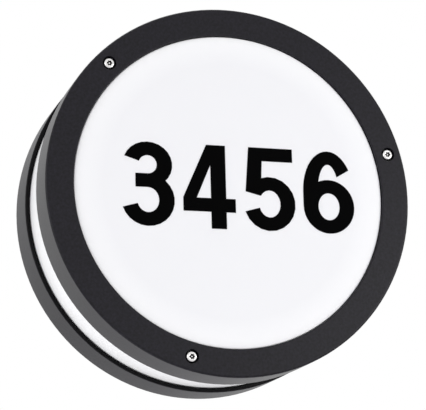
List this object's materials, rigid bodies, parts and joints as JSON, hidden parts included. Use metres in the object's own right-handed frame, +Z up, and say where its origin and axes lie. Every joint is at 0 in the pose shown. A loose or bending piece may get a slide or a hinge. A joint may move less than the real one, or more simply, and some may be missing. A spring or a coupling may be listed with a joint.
{
  "type": "outdoor bulkhead light",
  "caption": "Round wall light with a dark cast front ring, an opal pot with a light band round its side, a cast rear housing and black figures on the window.",
  "frame": {"origin": "middle of the circle of wall fixings, on the wall plane", "axes": "+Z up; +Y into the wall, so the window looks along -Y; +X to the right of someone facing the light"},
  "size_m": [0.3, 0.117, 0.3],
  "materials": {
    "coat": "satin dark grey powder coat on die-cast aluminium",
    "foam": "matte closed-cell foam",
    "grey_rubber": "matte",
    "black_rubber": "matte",
    "zinc": "satin zinc plate",
    "stainless": "satin stainless steel",
    "rivet_metal": "satin",
    "white_enamel": "satin white enamel on sheet steel",
    "black_plastic": "matte",
    "porcelain": "gloss glaze",
    "brass": "satin",
    "tinned_brass": "satin tin plate on brass",
    "block_plastic": "satin white polyamide",
    "brown_insulation": "satin brown insulation",
    "blue_insulation": "satin blue insulation",
    "green_yellow_insulation": "satin green insulation with yellow stripes",
    "opal": "satin opal acrylic",
    "black_film": "satin black film",
    "solder": "satin solder",
    "black_glass": "gloss black glass",
    "nickel_brass": "satin threaded sheet",
    "lamp_plastic": "satin white plastic",
    "light_board": "satin white solder mask",
    "frosted": "satin frosted plastic"
  },
  "bodies": {
    "housing": {"rear_housing": "coat", "wall_gasket": "foam", "cable_grommet": "grey_rubber", "blanking_plug": "grey_rubber", "cover_posts": "zinc", "tray_standoffs": "zinc", "diffuser_seal": "black_rubber", "gear_tray": "white_enamel", "tray_screws": "zinc", "tray_bush": "black_plastic", "lampholder_bracket": "zinc", "bracket_rivets": "rivet_metal", "lampholder_body": "porcelain", "lampholder_screws": "zinc", "lampholder_shell": "brass", "lampholder_contact": "brass", "terminal_block": "block_plastic", "terminal_clamps": "brass", "terminal_screws": "zinc", "block_screws": "zinc", "earth_tag": "tinned_brass", "earth_screw": "zinc", "live_lead": "brown_insulation", "neutral_lead": "blue_insulation", "earth_lead": "green_yellow_insulation"},
    "cover": {"front_ring": "coat", "diffuser": "opal", "window_seal": "black_rubber", "house_number": "black_film"},
    "lamp_contact_tip": {"lamp_tip": "solder"},
    "lamp": {"lamp_insulator": "black_glass", "lamp_cap": "nickel_brass", "lamp_collar": "lamp_plastic", "lamp_light_board": "light_board", "lamp_envelope": "frosted"},
    "screw_1_seal": {"screw_seal_1": "black_rubber"},
    "screw_1": {"cover_screw_1": "stainless"},
    "screw_2_seal": {"screw_seal_2": "black_rubber"},
    "screw_2": {"cover_screw_2": "stainless"},
    "screw_3_seal": {"screw_seal_3": "black_rubber"},
    "screw_3": {"cover_screw_3": "stainless"}
  },
  "joints": [
    {"name": "cover_pull", "type": "slide", "parent": "housing", "child": "cover", "axis": [0, -1, 0], "range_m": [0, 0.15]},
    {"name": "screw_1_travel", "type": "slide", "parent": "cover", "child": "screw_1_seal", "axis": [0, -1, 0], "range_m": [0, 0.01]},
    {"name": "screw_1_turn", "type": "hinge", "parent": "screw_1_seal", "child": "screw_1", "pos_m": [0.13402, -0.115, 0.03591], "axis": [0, -1, 0], "range_deg": [0, 4520]},
    {"name": "screw_2_travel", "type": "slide", "parent": "cover", "child": "screw_2_seal", "axis": [0, -1, 0], "range_m": [0, 0.01]},
    {"name": "screw_2_turn", "type": "hinge", "parent": "screw_2_seal", "child": "screw_2", "pos_m": [-0.03591, -0.115, -0.13402], "axis": [0, -1, 0], "range_deg": [0, 4520]},
    {"name": "screw_3_travel", "type": "slide", "parent": "cover", "child": "screw_3_seal", "axis": [0, -1, 0], "range_m": [0, 0.01]},
    {"name": "screw_3_turn", "type": "hinge", "parent": "screw_3_seal", "child": "screw_3", "pos_m": [-0.09811, -0.115, 0.09811], "axis": [0, -1, 0], "range_deg": [0, 4520]},
    {"name": "lamp_travel", "type": "slide", "parent": "housing", "child": "lamp_contact_tip", "axis": [1, 0, 0], "range_m": [0, 0.0182]},
    {"name": "lamp_turn", "type": "hinge", "parent": "lamp_contact_tip", "child": "lamp", "pos_m": [-0.0585, -0.062, 0], "axis": [1, 0, 0], "range_deg": [0, 1800]}
  ],
  "couplings": [
    {"joint": "screw_1_turn", "follows": "screw_1_travel", "rad_per_m": 7854},
    {"joint": "screw_2_turn", "follows": "screw_2_travel", "rad_per_m": 7854},
    {"joint": "screw_3_turn", "follows": "screw_3_travel", "rad_per_m": 7854},
    {"joint": "lamp_travel", "follows": "lamp_turn", "m_per_rad": 0.00057757}
  ]
}
